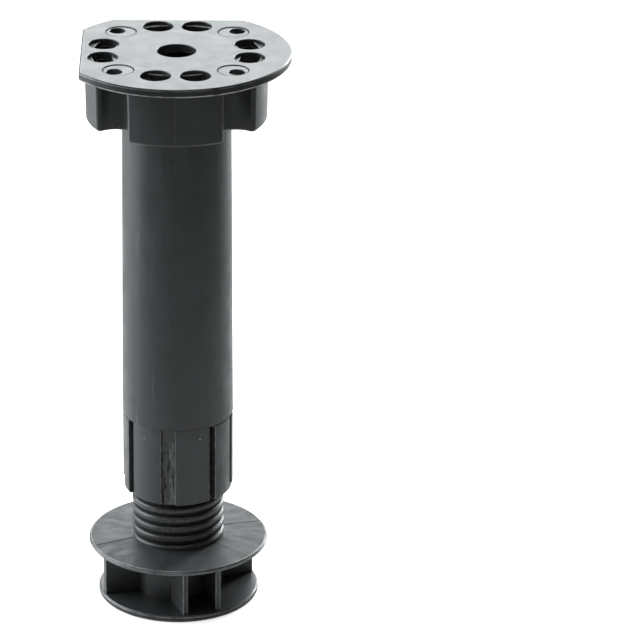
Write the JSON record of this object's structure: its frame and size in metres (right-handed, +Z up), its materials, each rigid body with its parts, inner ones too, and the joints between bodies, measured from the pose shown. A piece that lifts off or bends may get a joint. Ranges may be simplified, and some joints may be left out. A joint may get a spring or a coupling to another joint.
{
  "type": "adjustable cabinet leg",
  "caption": "Moulded plastic cabinet leg: mounting plate with lobed socket, tapered tube with slit threaded collar, and a ribbed foot on a hollow screw spindle for height adjustment.",
  "frame": {"origin": "on the leg's axis at the floor, under the middle of the foot", "axes": "+Z up along the leg to the mounting plate, -Y towards the front of the leg, +X to its right"},
  "size_m": [0.0558, 0.0554, 0.158],
  "materials": {
    "plate_plastic": "semi-matt moulded, fine grain",
    "tube_plastic": "semi-matt moulded, smooth",
    "foot_plastic": "semi-matt moulded, faint flow lines"
  },
  "bodies": {
    "foot": {"foot": "foot_plastic"},
    "mounting_plate": {"mounting_plate": "plate_plastic"},
    "leg_tube": {"leg_tube": "tube_plastic"}
  },
  "joints": [
    {"name": "height", "type": "slide", "parent": "foot", "child": "mounting_plate", "axis": [0, 0, 1], "range_m": [-0.014, 0.012]},
    {"name": "tube_turn", "type": "hinge", "parent": "mounting_plate", "child": "leg_tube", "pos_m": [0, 0, 0.1], "axis": [0, 0, 1], "range_deg": [-1769, 1516]}
  ],
  "couplings": [
    {"joint": "tube_turn", "follows": "height", "rad_per_m": 2204.6}
  ]
}
